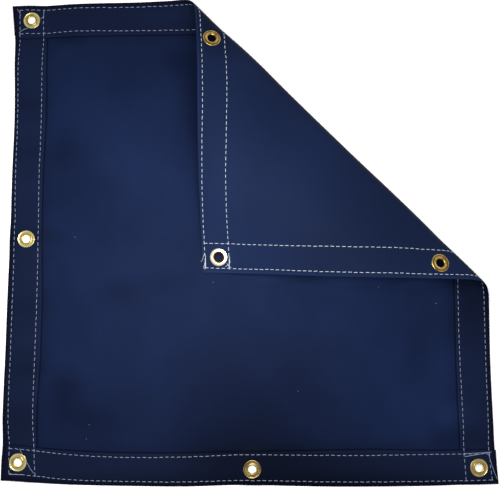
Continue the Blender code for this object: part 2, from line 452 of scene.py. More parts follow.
    def seat(self, spot: EyeletSpot) -> tuple[Array, Array, Array]:
        """The plane that an eyelet presses its cloth to: its centre, its directions along u and v."""
        u, v = np.array(spot.u), np.array(spot.v)
        middle = self.folded(u, v) + np.array([0.0, 0.0, spot.lift])
        along_u, along_v = stepped(self.folded, u, v, self.seat_step)
        return middle, unit(along_u), unit(along_v)

    def pressed(self, spot: EyeletSpot, u: Array, v: Array) -> Array:
        """How firmly an eyelet presses each point: 1 on its seat, easing to 0 at its reach."""
        away = np.hypot(u - spot.u, v - spot.v)
        return 1 - ease((away - self.seat_radius) / (spot.reach - self.seat_radius))

    def swelled(self, u: Array, v: Array) -> Array:
        """The lying cloth's gentle rises: the sum of smooth hills, their strength in mm high."""
        total = np.zeros_like(u)
        for patch in self.swells:
            total = total + patch.strength * MM * patch.hill(u, v)
        return total

    def reverse(self, u: Array, v: Array) -> Array:
        """Pattern points on the reverse face, with swells and eyelet seats.

        Near an eyelet a point is drawn towards the seat's plane by as much as it is pressed.

        Args:
            u: Distances from the left edge.
            v: Distances from the top edge.

        Returns:
            An array of points, one more axis than u.
        """
        points = self.folded(u, v)
        points[..., 2] += self.swelled(u, v)
        for spot in self.eyelets:
            middle, along_u, along_v = self.seat(spot)
            share = self.pressed(spot, u, v)[..., None]
            plane = middle + (u - spot.u)[..., None] * along_u + (v - spot.v)[..., None] * along_v
            points = points + share * (plane - points)
        return points

    def outward(self, u: Array, v: Array) -> Array:
        """Unit normals of the hemmed face: the cross product of the steps along u and against v."""
        along_u, along_v = stepped(self.reverse, u, v, self.probe)
        return unit(np.cross(along_u, -along_v))


@dataclass(frozen=True)
class SewingLines:
    """Where the stitch rows and the hem's inner edge run, as straight lines and as really sewn.

    The stations are fractions along a side, from the left or from the top.
    """

    outer: float = 6.5 * MM
    inner: float = 44.5 * MM
    hem: float = 51.0 * MM
    settled: float = 95 * MM
    along: Column = (0.0, 0.06, 0.12, 0.25, 0.375, 0.5, 0.625, 0.75, 0.88, 0.94, 1.0)
    top: HemRows = HemRows(
        outer=(8.2, 7.8, 7.3, 8.4, 8.3, 7.0, 8.0, 6.6, 4.6, 4.4, 5.0),
        inner=(48.3, 47.4, 46.9, 48.7, 50.3, 44.6, 45.8, 45.2, 44.5, 43.8, 43.5),
        hem=(57.9, 55.4, 55.7, 55.7, 57.2, 52.0, 52.3, 51.7, 51.0, 50.5, 50.5),
    )
    right: HemRows = HemRows(
        outer=(7.7, 7.3, 7.7, 7.5, 6.9, 6.5, 7.8, 7.2, 7.9, 9.4, 8.4),
        inner=(47.0, 46.9, 47.2, 46.4, 45.6, 45.2, 48.5, 47.7, 46.6, 47.6, 47.7),
        hem=(53.5, 53.4, 53.7, 53.0, 52.1, 51.6, 53.6, 53.3, 53.0, 52.8, 53.6),
    )
    bottom: HemRows = HemRows(
        outer=(11.1, 10.3, 7.9, 6.8, 6.8, 7.0, 7.2, 6.9, 6.8, 6.1, 6.3),
        inner=(49.3, 48.4, 45.8, 42.9, 44.3, 45.4, 46.4, 46.6, 46.9, 45.9, 45.1),
        hem=(54.5, 53.1, 51.1, 48.9, 49.4, 49.5, 52.8, 54.7, 52.1, 51.3, 51.5),
    )
    left: HemRows = HemRows(
        outer=(12.1, 8.9, 6.3, 5.2, 5.7, 7.4, 8.3, 8.3, 9.0, 10.9, 14.1),
        inner=(50.8, 47.5, 45.6, 44.3, 44.3, 45.4, 47.1, 46.9, 47.4, 49.2, 53.6),
        hem=(54.6, 52.5, 52.3, 51.5, 50.0, 50.8, 54.8, 55.3, 52.8, 53.3, 57.2),
    )

    def straight(self, row: Row) -> float:
        """A row's distance from its edge along the straight sewing lines."""
        return getattr(self, row.value)

    def sewn(self, side: Side, row: Row, along: Array) -> Array:
        """A row's real distance from its edge: the smooth curve through its column of the table."""
        values = np.array(getattr(getattr(self, side.value), row.value)) * MM
        return through(np.array(self.along), values, along)

    def shift(self, side: Side, distance: Array, along: Array) -> Array:
        """How far a point moves inwards from its straight sewing line to where it was sewn.

        Each row carries its own shift, which fades evenly to nothing at the rows beside it.

        Args:
            side: The side whose rows are meant.
            distance: Distances from that side along the straight lines.
            along: Fractions along the side.

        Returns:
            The shift of each point, in metres.
        """
        marks = (0.0, *(self.straight(row) for row in Row), self.settled)
        total = np.zeros_like(distance)
        for number, row in enumerate(Row, start=1):
            share = np.interp(distance, marks, np.eye(len(marks))[number])
            total = total + share * (self.sewn(side, row, along) - self.straight(row))
        return total

    def pattern(self, cloth: Pattern, a: Array, b: Array) -> tuple[Array, Array]:
        """The pattern's u and v of points given by their sewing lines."""
        along_a, along_b = a / cloth.width, b / cloth.height
        u = a + self.shift(Side.LEFT, a, along_b) - self.shift(Side.RIGHT, cloth.width - a, along_b)
        v = b + self.shift(Side.TOP, b, along_a)
        return u, v - self.shift(Side.BOTTOM, cloth.height - b, along_a)


def placed(name: str, data: bpy.types.ID) -> Piece:
    """A new object of the scene that shows this data."""
    made = bpy.data.objects.new(name, data)
    bpy.context.scene.collection.objects.link(made)
    return made


@dataclass
class MeshParts:
    """Points and faces that grow into one mesh, with a flat coordinate for each point."""

    points: list[Array] = field(default_factory=list)
    coords: list[Array] = field(default_factory=list)
    quads: list[Array] = field(default_factory=list)
    tris: list[Array] = field(default_factory=list)
    count: int = 0

    def add(self, points: Array, coords: Array, quads: Array, tris: Array | None = None) -> None:
        """Adds a block of points and its faces.

        Args:
            points: The block's points.
            coords: A pair of flat coordinates for each point.
            quads: Faces of four, as numbers within the block.
            tris: Faces of three, as numbers within the block.
        """
        self.points.append(points.reshape(-1, 3))
        self.coords.append(coords.reshape(-1, 2))
        self.quads.append(quads.reshape(-1, 4) + self.count)
        if tris is not None:
            self.tris.append(tris.reshape(-1, 3) + self.count)
        self.count += len(self.points[-1])

    def build(self, name: str, finish: Material, marks: dict[str, Array] | None = None) -> Piece:
        """Makes one smooth object that rides on the part's one body.

        Args:
            name: The object's name.
            finish: Its material.
            marks: Values for each point that the material reads, by name.

        Returns:
            The object, at the origin.
        """
        points = np.concatenate(self.points)
        faces = np.concatenate(self.quads).tolist()
        if self.tris:
            faces += np.concatenate(self.tris).tolist()
        mesh = bpy.data.meshes.new(name)
        mesh.from_pydata(points.tolist(), [], faces)
        corner = np.empty(len(mesh.loops), dtype=np.int32)
        mesh.loops.foreach_get("vertex_index", corner)
        layer = mesh.uv_layers.new(name="flat")
        layer.data.foreach_set("uv", np.concatenate(self.coords)[corner].astype(np.float32).ravel())
        for key, values in (marks or {}).items():
            mark = mesh.attributes.new(key, "FLOAT", "POINT")
            mark.data.foreach_set("value", values.astype(np.float32))
        mesh.polygons.foreach_set("use_smooth", np.ones(len(mesh.polygons), dtype=bool))
        mesh.materials.append(finish)
        mesh.update()
        made = placed(name, mesh)
        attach(made, "root")
        LOG.info("%s: %d points, %d faces", name, len(points), len(faces))
        return made


def ring_quads(rings: int, around: int, closed: bool) -> Array:
    """The faces of a tube of rings of points.

    Args:
        rings: How many rings there are.
        around: How many points a ring has.
        closed: Whether the last ring joins the first.

    Returns:
        Faces of four, facing out where the rings run right-handed about their path.
    """
    ring = np.arange(rings if closed else rings - 1)[:, None] * around
    step = np.arange(around)[None, :]
    following = (step + 1) % around
    beyond = (ring + around) % (rings * around)
    quads = [ring + step, ring + following, beyond + following, beyond + step]
    return np.stack(quads, axis=-1).reshape(-1, 4)


def spokes(count: int) -> Array:
    """Evenly spaced angles round a circle."""
    return np.arange(count) * 2 * np.pi / count


def capped_tube(rings: int, around: int) -> tuple[Array, Array]:
    """The faces of an open tube of rings that a point closes at each end.

    Args:
        rings: How many rings there are.
        around: How many points a ring has. The two end points come after all the rings.

    Returns:
        The tube's faces of four, and the faces of three at its ends.
    """
    step = np.arange(around)
    following = (step + 1) % around
    tip = rings * around
    last = tip - around
    near = np.stack([np.full(around, tip), following, step], axis=1)
    far = np.stack([np.full(around, tip + 1), last + step, last + following], axis=1)
    return ring_quads(rings, around, closed=False), np.concatenate([near, far])


@dataclass
class ClothSheet:
    """The one continuous cloth: its thickness, hems, stitch grooves, edges and eyelet holes."""

    pattern: Pattern
    lines: SewingLines
    ply: float = 1.1 * MM
    corner_share: float = 0.35
    seat_top: float = 2.42 * MM
    seat_bottom: float = -0.2 * MM
    hole: float = 7.2 * MM
    least_away: float = 0.01 * MM
    step_start: float = 49.9 * MM
    step_end: float = 51.05 * MM
    crease_place: float = 51.7 * MM
    crease_width: float = 1.05 * MM
    crease_depth: float = 0.35 * MM
    edge_radius: float = 2.2 * MM
    edge_least: float = 0.2
    # How far the painted shade along the cloth's edge reaches on the hemmed face.
    edge_shade_width: float = 10.5 * MM
    # A painted highlight along the hems' turned edge and along the reverse face's edge, and a painted
    # shadow band inside the hems.
    lip_highlight_share: float = 0.24
    lip_highlight_place: float = 49.2 * MM
    lip_highlight_width: float = 1.5 * MM
    brim_highlight_share: float = 0.6
    brim_highlight_width: float = 4.8 * MM
    hem_shadow_share: float = 0.16
    hem_shadow_width: float = 22 * MM
    roll_width: float = 6.2 * MM
    roll_drop: float = 0.5 * MM
    groove_depth: float = 0.34 * MM
    groove_width: float = 1.0 * MM
    puff: float = 0.30 * MM
    ripple: float = 0.16 * MM
    waves: tuple[Wave, ...] = (Wave(9.1 * MM, 2.0, 31 * MM), Wave(14.3 * MM, 1.3, 47 * MM))
    field_step: float = 5.2 * MM
    # Soft patches of painted light and shade on the hemmed face.
    hemmed_painted_light: tuple[Patch, ...] = table(
        Patch,
        (224, 249, 170, 170, 0.16), (247, 90, 150, 110, -0.22), (404, 690, 260, 190, -0.44),
        (480, 760, 260, 80, -0.30), (110, 690, 190, 90, -0.24), (700, 650, 140, 180, 0.16),
        (136, 339, 110, 90, -0.12), (745, 470, 70, 80, -0.42), (20, 260, 60, 420, 0.10),
        (588, 466, 180, 26, 0.42), (256, 464, 70, 30, -0.12), (34, 391, 75, 24, -0.32),
        (9, 110, 70, 50, 0.12), (21, 171, 60, 20, -0.14), (19, 213, 60, 18, 0.10),
        (23, 252, 60, 18, -0.12), (21, 312, 60, 26, 0.12), (30, 501, 70, 22, -0.14),
        (30, 552, 60, 26, 0.10), (41, 601, 60, 22, -0.16), (26, 643, 60, 26, 0.14),
        (35, 708, 60, 30, 0.10), (246, 28, 70, 30, 0.18), (83, 61, 60, 24, -0.26),
        (84, 250, 40, 60, -0.20), (95, 636, 45, 60, -0.34), (122, 673, 70, 28, -0.18),
        (296, 174, 40, 110, -0.26), (216, 432, 110, 60, 0.14), (193, 273, 90, 60, 0.10),
        (351, 720, 130, 60, -0.28), (300, 776, 330, 36, -0.44), (560, 776, 300, 36, -0.44),
        (420, 735, 130, 34, -0.18), (180, 478, 50, 40, -0.20), (272, 105, 40, 40, -0.24),
        (720, 533, 90, 60, -0.20), (651, 558, 40, 110, -0.18), (711, 670, 50, 34, 0.24),
        (727, 707, 60, 26, -0.14), (684, 704, 40, 26, -0.24), (575, 625, 90, 60, 0.10),
        (425, 455, 70, 11, 0.45), (540, 460, 100, 13, 0.50), (650, 465, 70, 12, 0.30),
        (296, 165, 12, 90, 0.12),
    )
    # Soft patches of painted light and shade on the reverse face.
    reverse_painted_light: tuple[Patch, ...] = table(
        Patch,
        (660, 30, 150, 80, 0.34), (735, 100, 80, 105, 0.21), (722, 172, 55, 90, -0.11),
        (690, 275, 190, 170, -0.22), (513, 120, 130, 90, -0.12), (362, 30, 80, 70, -0.38),
    )
    edge_marks: tuple[float, ...] = (
        0.0, 0.12, 0.4, 0.85, 1.4, 2.4, 3.8, 5.2, 6.0, 6.5, 7.0, 7.8, 9.2, 12.0, 15.0, 18.0, 21.0,
        24.0, 27.0, 30.0, 33.0, 36.0, 39.0, 41.5, 43.2, 44.0, 44.5, 45.0, 45.8, 47.4, 49.0, 49.9,
        50.45, 50.8, 50.98, 51.05, 51.35, 51.7, 52.1, 52.7, 53.6, 56.0, 60.0,
    )

    def marks(self, length: float) -> Array:
        """Grid lines across the cloth: the edge marks, in mm, from both sides, and even steps."""
        near = np.array(self.edge_marks) * MM
        steps = round((length - 2 * near[-1]) / self.field_step)
        field_lines = np.linspace(near[-1], length - near[-1], steps + 1)[1:-1]
        return np.concatenate([near, field_lines, length - near[::-1]])

    def distances(self, a: Array, b: Array) -> dict[Side, Array]:
        """Each point's distance from the four sides along the sewing lines."""
        right, bottom = self.pattern.width - a, self.pattern.height - b
        return {Side.LEFT: a, Side.RIGHT: right, Side.TOP: b, Side.BOTTOM: bottom}

    def turned_in(self, distance: Array) -> Array:
        """The hem's own layer: 1 on the hem, a quarter of an ellipse at its turned-under edge."""
        x = np.clip((distance - self.step_start) / (self.step_end - self.step_start), 0.0, 1.0)
        return np.sqrt(1 - x * x)

    def layers(self, distances: dict[Side, Array]) -> tuple[Array, Array]:
        """The layers of the side hems, and of the top and the bottom hem, which lie over them."""
        layers = {side: self.turned_in(distance) for side, distance in distances.items()}
        upright = np.maximum(layers[Side.LEFT], layers[Side.RIGHT])
        return upright, np.maximum(layers[Side.TOP], layers[Side.BOTTOM])

    def creases(self, distances: dict[Side, Array], level: Array) -> Array:
        """The pinched line beside each hem's inner edge, which also masks the painted shadow there: a
        bell curve, hidden under other hems.
        """
        deepest = np.zeros_like(level)
        for side, distance in distances.items():
            seen = 1.0 if side in (Side.TOP, Side.BOTTOM) else 1 - level
            crease = bell(distance, self.crease_place, self.crease_width)
            deepest = np.maximum(deepest, crease * seen)
        return deepest

    def shade(self, face: Face, u: Array, v: Array, edge: Array) -> Array:
        """How light each point is painted: painted light and shade over the cloth's own colour.

        It is the product of the face's soft patches of painted light and shade. The reverse face
        has a painted highlight along the cloth's edge. The other has a painted shadow band inside the
        hems and a painted highlight along their turned edge, a bell curve across it.

        Args:
            face: The face that is meant.
            u: Distances from the left edge on the pattern.
            v: Distances from the top edge on the pattern.
            edge: Distances from the nearest edge along the sewing lines.

        Returns:
            A factor for each point, 1 where the cloth has its own colour.
        """
        total = np.ones_like(u)
        if face is Face.REVERSE:
            # Painted highlight along the reverse face's edge.
            total = total + self.brim_highlight_share * (1 - ease(edge / self.brim_highlight_width))
        else:
            # A painted shadow band inside the hems, and a painted highlight on their turned edge.
            inside = (edge - self.step_end) / self.hem_shadow_width
            total = total - self.hem_shadow_share * (1 - ease(inside)) * (inside > 0)
            total = total + self.lip_highlight_share * bell(edge, self.lip_highlight_place, self.lip_highlight_width)
        for patch in self.hemmed_painted_light if face is Face.HEMMED else self.reverse_painted_light:
            total = total * (1 + patch.strength * patch.hill(u, v))
        return total

    def grooves(self, distances: dict[Side, Array]) -> Array:
        """How deep the stitches pull: the strongest of the rows' bell curves."""
        deepest = np.zeros_like(distances[Side.TOP])
        for distance in distances.values():
            for row in STITCHED:
                groove = bell(distance, self.lines.straight(row), self.groove_width)
                deepest = np.maximum(deepest, groove)
        return deepest

    def puckers(self, distances: dict[Side, Array], a: Array, b: Array) -> Array:
        """The hem's fullness between its rows: a half sine across it, rippled by slow sines."""
        total = np.zeros_like(a)
        span = self.lines.inner - self.lines.outer
        for side, distance in distances.items():
            run = a if side in (Side.TOP, Side.BOTTOM) else b
            across = np.sin(np.pi * np.clip((distance - self.lines.outer) / span, 0.0, 1.0))
            waves = sum(wave.along(run) for wave in self.waves)
            total = np.maximum(total, across * (self.puff + self.ripple * waves / len(self.waves)))
        return total

    def lifts(self, a: Array, b: Array, u: Array, v: Array) -> tuple[Array, Array]:
        """How high both faces stand over the pattern's reverse face.

        The hemmed face adds the cloth's ply, the hems' layers and their fullness, less the grooves.
        The reverse face takes the grooves and rolls over towards the edge. At the edge both faces
        close in on the middle as an ellipse does, and on an eyelet's seat they lie pressed flat.

        Args:
            a: Distances from the left edge along the sewing lines.
            b: Distances from the top edge along the sewing lines.
            u: Distances from the left edge on the pattern.
            v: Distances from the top edge on the pattern.

        Returns:
            The lift of the hemmed face and of the reverse face.
        """
        distances = self.distances(a, b)
        upright, level = self.layers(distances)
        hems = np.maximum(upright, level) + self.corner_share * upright * level
        groove = self.grooves(distances) * self.groove_depth
        pinch = self.creases(distances, level) * self.crease_depth
        top = self.ply * (1 + hems) + self.puckers(distances, a, b) - groove - pinch
        edge = np.minimum.reduce(list(distances.values()))
        roll = np.clip(1 - edge / self.roll_width, 0.0, 1.0)
        bottom = groove + self.roll_drop * roll * roll
        closing = np.clip(1 - edge / self.edge_radius, 0.0, 1.0)
        closing = np.maximum(np.sqrt(1 - closing * closing), self.edge_least)
        centre = (top + bottom) / 2
        top, bottom = centre + (top - centre) * closing, centre + (bottom - centre) * closing
        for spot in self.pattern.eyelets:
            share = self.pattern.pressed(spot, u, v)
            top = top + share * (self.seat_top - top)
            bottom = bottom + share * (self.seat_bottom - bottom)
        return top, bottom

    def surface(self, a: Array, b: Array, face: Face) -> tuple[Array, Array, Array]:
        """Points of one face of the finished cloth.

        Args:
            a: Distances from the left edge along the sewing lines.
            b: Distances from the top edge along the sewing lines.
            face: The face that is wanted.

        Returns:
            The points, the normals that face out of that face, and their u and v on the pattern.
        """
        u, v = self.lines.pattern(self.pattern, a, b)
        lift = self.lifts(a, b, u, v)[0 if face is Face.HEMMED else 1]
        outward = self.pattern.outward(u, v)
        points = self.pattern.reverse(u, v) + outward * lift[..., None]
        return points, outward * face.value, np.stack([u, v], axis=-1)

    def holed(self, u: Array, v: Array, quads: Array) -> tuple[Array, Array, Array]:
        """Opens the eyelet holes.

        Faces whose corners all lie in a hole go, and corners that still lie in one move to its rim.

        Args:
            u: Each point's u on the pattern.
            v: Each point's v on the pattern.
            quads: The sheet's faces.

        Returns:
            The moved u and v, and the faces that stay.
        """
        inside = np.zeros(len(u), dtype=int)
        for number, spot in enumerate(self.pattern.eyelets, start=1):
            du, dv = u - spot.u, v - spot.v
            away = np.maximum(np.hypot(du, dv), self.least_away)
            within = away < self.hole
            inside[within] = number
            u = np.where(within, spot.u + du * self.hole / away, u)
            v = np.where(within, spot.v + dv * self.hole / away, v)
        return u, v, quads[(inside[quads] == 0).any(axis=1)]

    def build(self, finish: Material) -> Piece:
        """Makes the cloth as one closed sheet: both faces on one grid, joined along open edges."""
        cloth = self.pattern
        a, b = np.meshgrid(self.marks(cloth.width), self.marks(cloth.height))
        rows, columns = a.shape
        a, b = a.ravel(), b.ravel()
        u, v = self.lines.pattern(cloth, a, b)
        lifts = self.lifts(a, b, u, v)
        corner = np.arange((rows - 1) * columns).reshape(rows - 1, columns)[:, :-1].ravel()
        quads = np.stack([corner, corner + columns, corner + columns + 1, corner + 1], axis=1)
        u, v, quads = self.holed(u, v, quads)
        kept, numbers = np.unique(quads, return_inverse=True)
        quads = numbers.reshape(-1, 4)
        u, v, count = u[kept], v[kept], len(kept)
        base, outward = cloth.reverse(u, v), cloth.outward(u, v)
        top, bottom = (base + outward * lift[kept][:, None] for lift in lifts)
        starts, ends = quads.ravel(), np.roll(quads, -1, axis=1).ravel()
        forth, back = starts * count + ends, ends * count + starts
        rim = ~np.isin(forth, back)
        walls = np.stack([ends[rim], starts[rim], starts[rim] + count, ends[rim] + count], axis=1)
        faces = np.concatenate([quads, quads[:, ::-1] + count, walls])
        flat = np.stack([u, v], axis=1)
        parts = MeshParts()
        parts.add(np.concatenate([top, bottom]), np.concatenate([flat, flat]), faces)
        distances = self.distances(a[kept], b[kept])
        upright, level = self.layers(distances)
        edge = np.minimum.reduce(list(distances.values()))
        ground = np.zeros(count)
        marks = {
            "hem": (np.maximum(upright, level), ground),
            # Painted shadow in the crease beside each hem's inner edge.
            "crease": (self.creases(distances, level), ground),
            # Painted shade along the cloth's edge, on the hemmed face.
            "rim": (1 - ease(edge / self.edge_shade_width), ground),
            # Painted shade along the fold's outermost line, on the reverse face.
            "bend": (ground, cloth.bent(u, v)),
            # Painted light and shade on both faces.
            "shade": tuple(self.shade(face, u, v, edge) for face in Face),
            "reverse": (ground, ground + 1.0),
        }
        marks = {key: np.concatenate(pair) for key, pair in marks.items()}
        return parts.build("tarp_cloth", finish, marks)


@dataclass
class Stitching:
    """The lockstitch rows: on both faces, each stitch is its own short bowed thread.

    The pitches are given in the order of the sides.
    """

    sheet: ClothSheet
    pitches: tuple[float, ...] = (9.1 * MM, 8.7 * MM, 8.8 * MM, 9.1 * MM)
    length: float = 6.3 * MM
    end_gap: float = 4.2 * MM
    half_width: float = 0.44 * MM
    half_height: float = 0.30 * MM
    narrowing: float = 0.55
    rise: float = 0.26 * MM
    sink: float = 0.24 * MM
    stretches: tuple[float, float] = (0.92, 1.08)
    slant: float = 0.16 * MM
    stray: float = 0.14 * MM
    slip: float = 0.14 * MM
    rings: int = 6
    around: int = 6
    seed: int = 41

    def stitch_places(self) -> list[tuple[Array, Array, Array]]:
        """Every row's stitches: their middles along and across, and whether the row is level."""
        cloth, rows = self.sheet.pattern, []
        for side, pitch in zip(Side, self.pitches):
            level = side in (Side.TOP, Side.BOTTOM)
            length, breadth = (cloth.width, cloth.height) if level else (cloth.height, cloth.width)
            count = int((length - 2 * self.end_gap) / pitch)
            middle = self.end_gap + (np.arange(count) + 0.5) * (length - 2 * self.end_gap) / count
            for row in STITCHED:
                inset = self.sheet.lines.straight(row)
                across = breadth - inset if side in (Side.BOTTOM, Side.RIGHT) else inset
                rows.append((middle, np.full(count, across), np.full(count, level)))
        return rows

    def threads(self, face: Face) -> tuple[Array, Array, Array]:
        """The middle lines of all stitches of one face.

        A stitch is a little longer, shorter or more aslant than the next, by seeded random draws.

        Args:
            face: The face that the stitches lie on.

        Returns:
            The lines' a and b along the sewing lines, and each line's share along itself.
        """
        generator = np.random.default_rng(self.seed + int(face.value))
        along, across, level = (np.concatenate(part) for part in zip(*self.stitch_places()))
        count = len(along)
        share = np.linspace(-0.5, 0.5, self.rings)[None, :]
        stretch = self.length * generator.uniform(*self.stretches, count)[:, None]
        slant = generator.normal(0.0, self.slant, count)[:, None]
        stray = generator.normal(0.0, self.stray, count)[:, None]
        slip = generator.normal(0.0, self.slip, count)[:, None]
        run = along[:, None] + slip + stretch * share
        off = across[:, None] + stray + 2 * slant * share
        a = np.where(level[:, None], run, off)
        b = np.where(level[:, None], off, run)
        return a, b, np.broadcast_to(share + 0.5, a.shape)

    def tubes(self, points: Array, outward: Array, share: Array) -> Array:
        """The points round the stitches: flattened rings that lean over the bowed middle lines.

        The middle rises from its sunk ends as one less the fourth power of the way out, and a ring is
        an ellipse, wide along the cloth and low over it, that narrows towards the ends.

        Args:
            points: The middle lines on the cloth.
            outward: The cloth's normals there.
            share: The share along each line.

        Returns:
            An array of stitches by rings by points round.
        """
        forward = unit(np.gradient(points, axis=1))
        sideways = unit(np.cross(outward, forward))
        out = 2 * share - 1
        height = (self.rise + self.sink) * (1 - out**4) - self.sink
        taper = np.sqrt(1 - self.narrowing * out**4)[..., None, None]
        angle = spokes(self.around)
        wide = np.cos(angle)[:, None] * sideways[..., None, :] * self.half_width
        tall = np.sin(angle)[:, None] * outward[..., None, :] * self.half_height
        middle = points + outward * height[..., None]
        return middle[..., None, :] + (wide + tall) * taper

    def build(self, face: Face, finish: Material) -> Piece:
        """Makes all stitches of one face as one object, each a closed thread with pointed ends."""
        a, b, share = self.threads(face)
        points, outward, _ = self.sheet.surface(a, b, face)
        rings = self.tubes(points, outward, share)
        count = len(rings)
        tips = points[:, [0, -1]] - outward[:, [0, -1]] * (self.sink + self.half_height)
        block = self.rings * self.around
        every = np.concatenate([rings.reshape(count, block, 3), tips], axis=1)
        first = np.arange(count)[:, None, None] * (block + 2)
        quads, tris = (faces[None] + first for faces in capped_tube(self.rings, self.around))
        length = np.repeat(share, self.around, axis=1) * self.length
        turn = np.tile(np.arange(self.around) / self.around, self.rings)
        coords = np.stack([length, np.broadcast_to(turn, length.shape)], axis=-1)
        parts = MeshParts()
        parts.add(every, np.concatenate([coords, np.zeros((count, 2, 2))], axis=1), quads, tris)
        return parts.build(f"stitching_{face.name.lower()}_side", finish)


@dataclass
class LooseThreads:
    """The thread ends and tufts left where the rows start and stop, and a few bits of lint."""

    sheet: ClothSheet
    steps: int = 14
    around: int = 6
    rounds: int = 8
    hemmed: tuple[Tail, ...] = (
        Tail(((6.5, 6.0, 0.4), (10.9, 12.7, 0.8), (11.9, 18.9, 0.4)), 0.6),
        Tail(((7.6, 46.5, 0.5), (14.9, 42.3, 1.6), (23.5, 38.9, 1.2)), 0.7),
        Tail(((50.2, 8.2, 0.4), (49.7, 17.5, 0.6), (48.6, 20.0, 0.8), (45.0, 23.0, 0.6)), 0.7),
        Tail(((27.6, 726.5, 0.5), (29.5, 730.6, 1.0), (31.4, 733.0, 0.5)), 0.6),
        Tail(((40.2, 746.4, 0.5), (45.6, 754.8, 1.3), (50.8, 761.6, 0.5)), 0.6),
        Tail(((11.4, 765.9, 0.5), (22.4, 765.4, 0.6), (34.7, 764.6, 0.5)), 0.9),
        Tail(((715.5, 734.0, 0.5), (726.0, 732.4, 0.7), (753.8, 728.4, 0.5)), 0.9),
        Tail(((714.6, 729.5, 0.5), (735.0, 729.0, 0.6), (755.5, 728.0, 0.5)), 0.6),
        Tail(((751.2, 731.6, 0.5), (753.4, 742.6, 1), (756.6, 755.6, 1), (760.2, 768.0, 0.5)), 0.7),
        Tail(((678.4, 497.3, 0.3), (679.6, 498.3, 0.5)), 0.7),
        Tail(((105.2, 390.7, 0.3), (106.0, 391.6, 0.5)), 0.6),
        Tail(((134.9, 684.3, 0.3), (135.5, 685.1, 0.4)), 0.5),
        Tail(((130.7, 705.7, 0.3), (131.1, 706.7, 0.4)), 0.5),
        Tail(((327.2, 463.3, 0.3), (327.8, 464.1, 0.4)), 0.6),
        Tail(((588.6, 471.9, 0.3), (589.8, 472.3, 0.4)), 0.6),
        Tail(((460.7, 633.2, 0.3), (461.2, 634.1, 0.4)), 0.5),
    )
    reverse: tuple[Tail, ...] = (
        Tail(((744.9, -2.2, 0.3), (739.6, 1.6, 2.2), (733.0, 3.2, 2.0), (733.6, 6.4, 0.4)), 0.45),
        Tail(((734.8, 5.6, 0.4), (744.7, 5.4, 0.9), (754.6, 5.0, 0.4)), 0.9),
        Tail(((742.9, 5.4, 0.5), (749.9, 3.4, 1.4), (755.2, 1.9, 0.9)), 0.8),
        Tail(((745.2, 5.0, 0.6), (751.6, 4.6, 1.7), (756.4, 4.1, 1.0)), 0.8),
        Tail(((743.4, 45.6, 0.5), (748.8, 41.9, 1.8), (751.6, 37.3, 0.9)), 0.7),
        Tail(((746.6, 40.0, 0.6), (751.0, 43.3, 1.6), (752.8, 46.6, 0.6)), 0.7),
        Tail(((736.0, 44.8, 0.4), (744.6, 44.4, 0.9), (754.4, 42.6, 0.5)), 0.9),
    )

    def sewing(self, u: Array, v: Array) -> tuple[Array, Array]:
        """The sewing lines' a and b of pattern points, by putting the shift back a few times."""
        a, b = u.copy(), v.copy()
        for _ in range(self.rounds):
            found_u, found_v = self.sheet.lines.pattern(self.sheet.pattern, a, b)
            a, b = a + (u - found_u), b + (v - found_v)
        return a, b

    def add(self, parts: MeshParts, tail: Tail, face: Face) -> None:
        """Adds one thread of a face: round rings along the smooth curve through its points."""
        table = np.array(tail.points) * MM
        stations = np.linspace(0.0, 1.0, len(table))
        share = np.linspace(0.0, 1.0, self.steps)
        u, v, lift = (through(stations, table[:, column], share) for column in range(3))
        points, outward, _ = self.sheet.surface(*self.sewing(u, v), face)
        points = points + outward * lift[:, None]
        forward = unit(np.gradient(points, axis=0))
        sideways = unit(np.cross(outward, forward))
        raised = np.cross(forward, sideways)
        angle = spokes(self.around)
        radius = tail.thickness * MM / 2
        ring = np.cos(angle)[:, None] * sideways[:, None] + np.sin(angle)[:, None] * raised[:, None]
        rings = (points[:, None] + ring * radius).reshape(-1, 3)
        ends = points[[0, -1]] + forward[[0, -1]] * np.array([[-radius], [radius]])
        run = np.concatenate([[0.0], np.cumsum(np.linalg.norm(np.diff(points, axis=0), axis=1))])
        turn = np.tile(np.arange(self.around) / self.around, self.steps)
        coords = np.stack([np.repeat(run, self.around), turn], axis=1)
        coords = np.concatenate([coords, np.zeros((2, 2))])
        parts.add(np.concatenate([rings, ends]), coords, *capped_tube(self.steps, self.around))

    def build(self, face: Face, finish: Material) -> Piece:
        """Makes all loose threads of one face as one object."""
        parts = MeshParts()
        for tail in self.hemmed if face is Face.HEMMED else self.reverse:
            self.add(parts, tail, face)
        return parts.build(f"loose_threads_{face.name.lower()}_side", finish)


